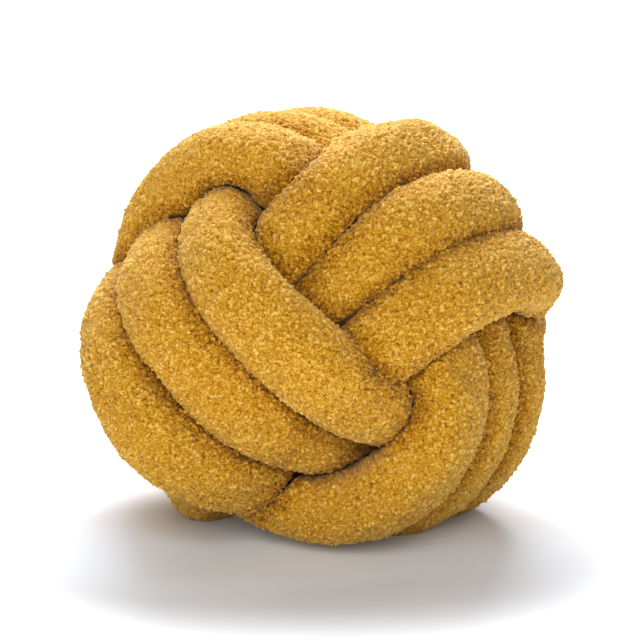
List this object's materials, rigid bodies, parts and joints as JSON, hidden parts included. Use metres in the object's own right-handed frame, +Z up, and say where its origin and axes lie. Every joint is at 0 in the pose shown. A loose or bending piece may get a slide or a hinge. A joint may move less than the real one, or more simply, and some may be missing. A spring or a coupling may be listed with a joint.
{
  "type": "knot cushion",
  "caption": "Round knot cushion: a long stuffed tube of teddy boucle wound in interlocked bands into a ball, to sit on a bed, sofa or shelf.",
  "frame": {"origin": "on the floor, at the middle of the cushion's box seen from above", "axes": "+Z is up as the ball rests; -Y is the side that faces the viewer in its usual pose, +X is to the viewer's right"},
  "size_m": [0.295, 0.308, 0.2552],
  "materials": {
    "boucle_cloth": "mustard teddy boucle, short curled pile, matt"
  },
  "bodies": {
    "root": {"wound_tube": "boucle_cloth"}
  },
  "joints": []
}
